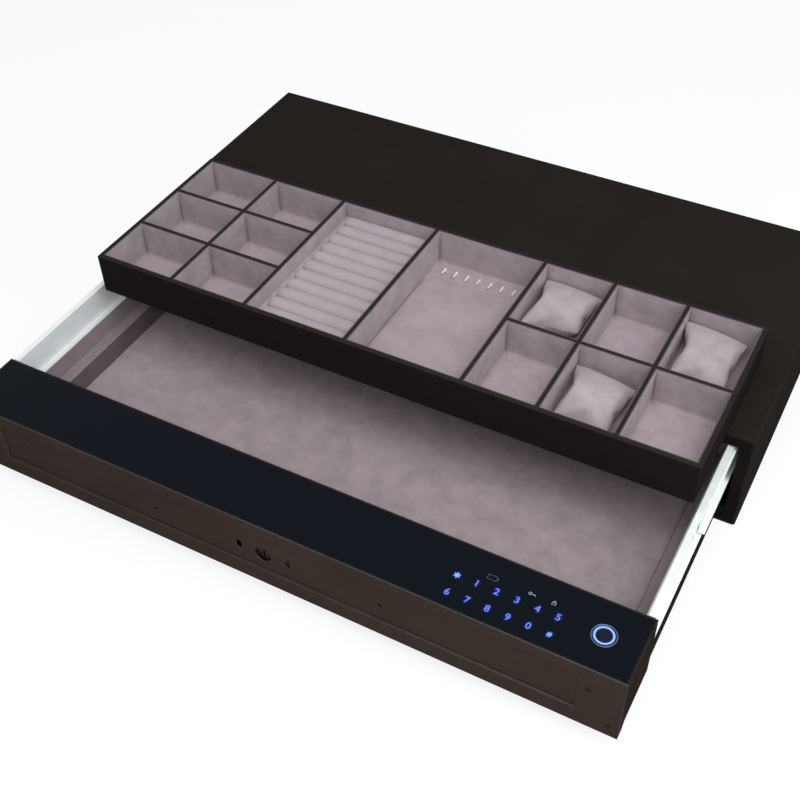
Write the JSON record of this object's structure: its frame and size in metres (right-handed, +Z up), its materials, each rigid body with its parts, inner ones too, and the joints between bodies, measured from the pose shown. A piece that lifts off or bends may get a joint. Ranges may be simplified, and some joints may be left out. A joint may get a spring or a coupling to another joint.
{
  "type": "biometric drawer safe",
  "caption": "Low drawer safe with a touch keypad and fingerprint reader in a glass top, a key override, sliding bolts and a loose lined jewellery tray on its housing.",
  "frame": {"origin": "centre of the four anchor holes, on the underside of the housing", "axes": "+X to the right, +Y to the back of the housing, +Z up"},
  "size_m": [0.837, 0.7238, 0.188],
  "materials": {
    "housing_paint": "satin black-brown powder coat",
    "drawer_paint": "satin dark brown paint",
    "bronze_paint": "semi-gloss bronze-brown paint",
    "plated_steel": "bright zinc plate",
    "ball_steel": "polished balls in a plated strip",
    "polished_chrome": "polished",
    "trim_aluminium": "bright anodised",
    "suede_lining": "grey-mauve suede cloth",
    "tray_board": "board wrapped in dark brown leatherette, lined inside",
    "black_glass": "back-painted gloss black glass",
    "black_plastic": "moulded",
    "light_plastic": "blue-white light",
    "board_laminate": "green circuit board",
    "cell_jacket": "dark jacket over a steel can",
    "lock_brass": "machined brass"
  },
  "bodies": {
    "housing": {"housing_shell": "housing_paint", "housing_back": "housing_paint", "front_frame": "housing_paint", "left_slide_rail": "housing_paint", "right_slide_rail": "housing_paint", "left_slide_fixed": "plated_steel", "right_slide_fixed": "plated_steel", "rail_screws": "plated_steel", "bolt_strikes": "plated_steel"},
    "left_middle_slide": {"left_slide_middle": "plated_steel"},
    "right_middle_slide": {"right_slide_middle": "plated_steel"},
    "left_outer_cage": {"left_outer_balls": "ball_steel"},
    "right_outer_cage": {"right_outer_balls": "ball_steel"},
    "left_inner_cage": {"left_inner_balls": "ball_steel"},
    "right_inner_cage": {"right_inner_balls": "ball_steel"},
    "drawer": {"drawer_pan": "drawer_paint", "floor_pad": "suede_lining", "left_side_lining": "suede_lining", "right_side_lining": "suede_lining", "front_lining": "suede_lining", "rear_lining": "suede_lining", "edge_trims": "trim_aluminium", "left_slide_drawer": "plated_steel", "right_slide_drawer": "plated_steel", "pan_screws": "plated_steel", "head_case": "drawer_paint", "front_plate": "bronze_paint", "front_screws": "plated_steel", "glass_top": "black_glass", "keypad_light_guide": "black_plastic", "keypad_lights": "light_plastic", "keypad_board": "board_laminate", "reader_bezel": "polished_chrome", "reader_light": "light_plastic", "reader_sensor": "black_glass", "reader_nut": "plated_steel", "main_board": "board_laminate", "board_standoffs": "lock_brass", "battery_box": "black_plastic", "batteries": "cell_jacket", "battery_cover": "black_plastic", "cover_screws": "plated_steel", "key_cylinder": "lock_brass", "cylinder_nut": "plated_steel", "gear_motor": "plated_steel", "lock_bracket": "plated_steel", "bolt_guides": "black_plastic"},
    "drive_disc": {"lock_disc": "plated_steel"},
    "right_lock_bolt": {"right_bolt": "polished_chrome"},
    "left_lock_bolt": {"left_bolt": "polished_chrome"},
    "plug": {"key_plug": "lock_brass"},
    "tray": {"tray_shell": "tray_board", "tray_dividers": "tray_board", "cell_linings": "suede_lining", "ring_pad": "suede_lining", "necklace_pad": "suede_lining", "necklace_hooks": "polished_chrome"},
    "left_pillow": {"watch_pillow_left": "suede_lining"},
    "middle_pillow": {"watch_pillow_middle": "suede_lining"},
    "right_pillow": {"watch_pillow_right": "suede_lining"}
  },
  "joints": [
    {"name": "drawer_slide", "type": "slide", "parent": "housing", "child": "drawer", "axis": [0, 1, 0], "range_m": [0, 0.33]},
    {"name": "left_middle_slide", "type": "slide", "parent": "housing", "child": "left_middle_slide", "axis": [0, 1, 0], "range_m": [0, 0.165]},
    {"name": "left_outer_cage_roll", "type": "slide", "parent": "left_middle_slide", "child": "left_outer_cage", "axis": [0, 1, 0], "range_m": [0, 0.0825]},
    {"name": "left_inner_cage_roll", "type": "slide", "parent": "left_middle_slide", "child": "left_inner_cage", "axis": [0, 1, 0], "range_m": [-0.0825, 0]},
    {"name": "right_middle_slide", "type": "slide", "parent": "housing", "child": "right_middle_slide", "axis": [0, 1, 0], "range_m": [0, 0.165]},
    {"name": "right_outer_cage_roll", "type": "slide", "parent": "right_middle_slide", "child": "right_outer_cage", "axis": [0, 1, 0], "range_m": [0, 0.0825]},
    {"name": "right_inner_cage_roll", "type": "slide", "parent": "right_middle_slide", "child": "right_inner_cage", "axis": [0, 1, 0], "range_m": [-0.0825, 0]},
    {"name": "disc_turn", "type": "hinge", "parent": "drawer", "child": "drive_disc", "pos_m": [0, -0.487, 0.0705], "axis": [0, 1, 0], "range_deg": [0, 90]},
    {"name": "right_bolt_throw", "type": "slide", "parent": "drawer", "child": "right_lock_bolt", "axis": [1, 0, 0], "range_m": [0, 0.012]},
    {"name": "left_bolt_throw", "type": "slide", "parent": "drawer", "child": "left_lock_bolt", "axis": [-1, 0, 0], "range_m": [0, 0.012]},
    {"name": "key_turn", "type": "hinge", "parent": "drawer", "child": "plug", "pos_m": [0, -0.51, 0.0705], "axis": [0, 1, 0], "range_deg": [0, 90]},
    {"name": "tray_lift", "type": "slide", "parent": "housing", "child": "tray", "axis": [0, 0, 1], "range_m": [0, 0.15]},
    {"name": "left_pillow_lift", "type": "slide", "parent": "tray", "child": "left_pillow", "axis": [0, 0, 1], "range_m": [0, 0.08]},
    {"name": "middle_pillow_lift", "type": "slide", "parent": "tray", "child": "middle_pillow", "axis": [0, 0, 1], "range_m": [0, 0.08]},
    {"name": "right_pillow_lift", "type": "slide", "parent": "tray", "child": "right_pillow", "axis": [0, 0, 1], "range_m": [0, 0.08]}
  ],
  "couplings": [
    {"joint": "left_middle_slide", "follows": "drawer_slide", "ratio": 0.5},
    {"joint": "left_outer_cage_roll", "follows": "drawer_slide", "ratio": 0.25},
    {"joint": "left_inner_cage_roll", "follows": "drawer_slide", "ratio": -0.25},
    {"joint": "right_middle_slide", "follows": "drawer_slide", "ratio": 0.5},
    {"joint": "right_outer_cage_roll", "follows": "drawer_slide", "ratio": 0.25},
    {"joint": "right_inner_cage_roll", "follows": "drawer_slide", "ratio": -0.25},
    {"joint": "left_bolt_throw", "follows": "right_bolt_throw", "ratio": 1},
    {"joint": "disc_turn", "follows": "right_bolt_throw", "rad_per_m": 130.9}
  ]
}
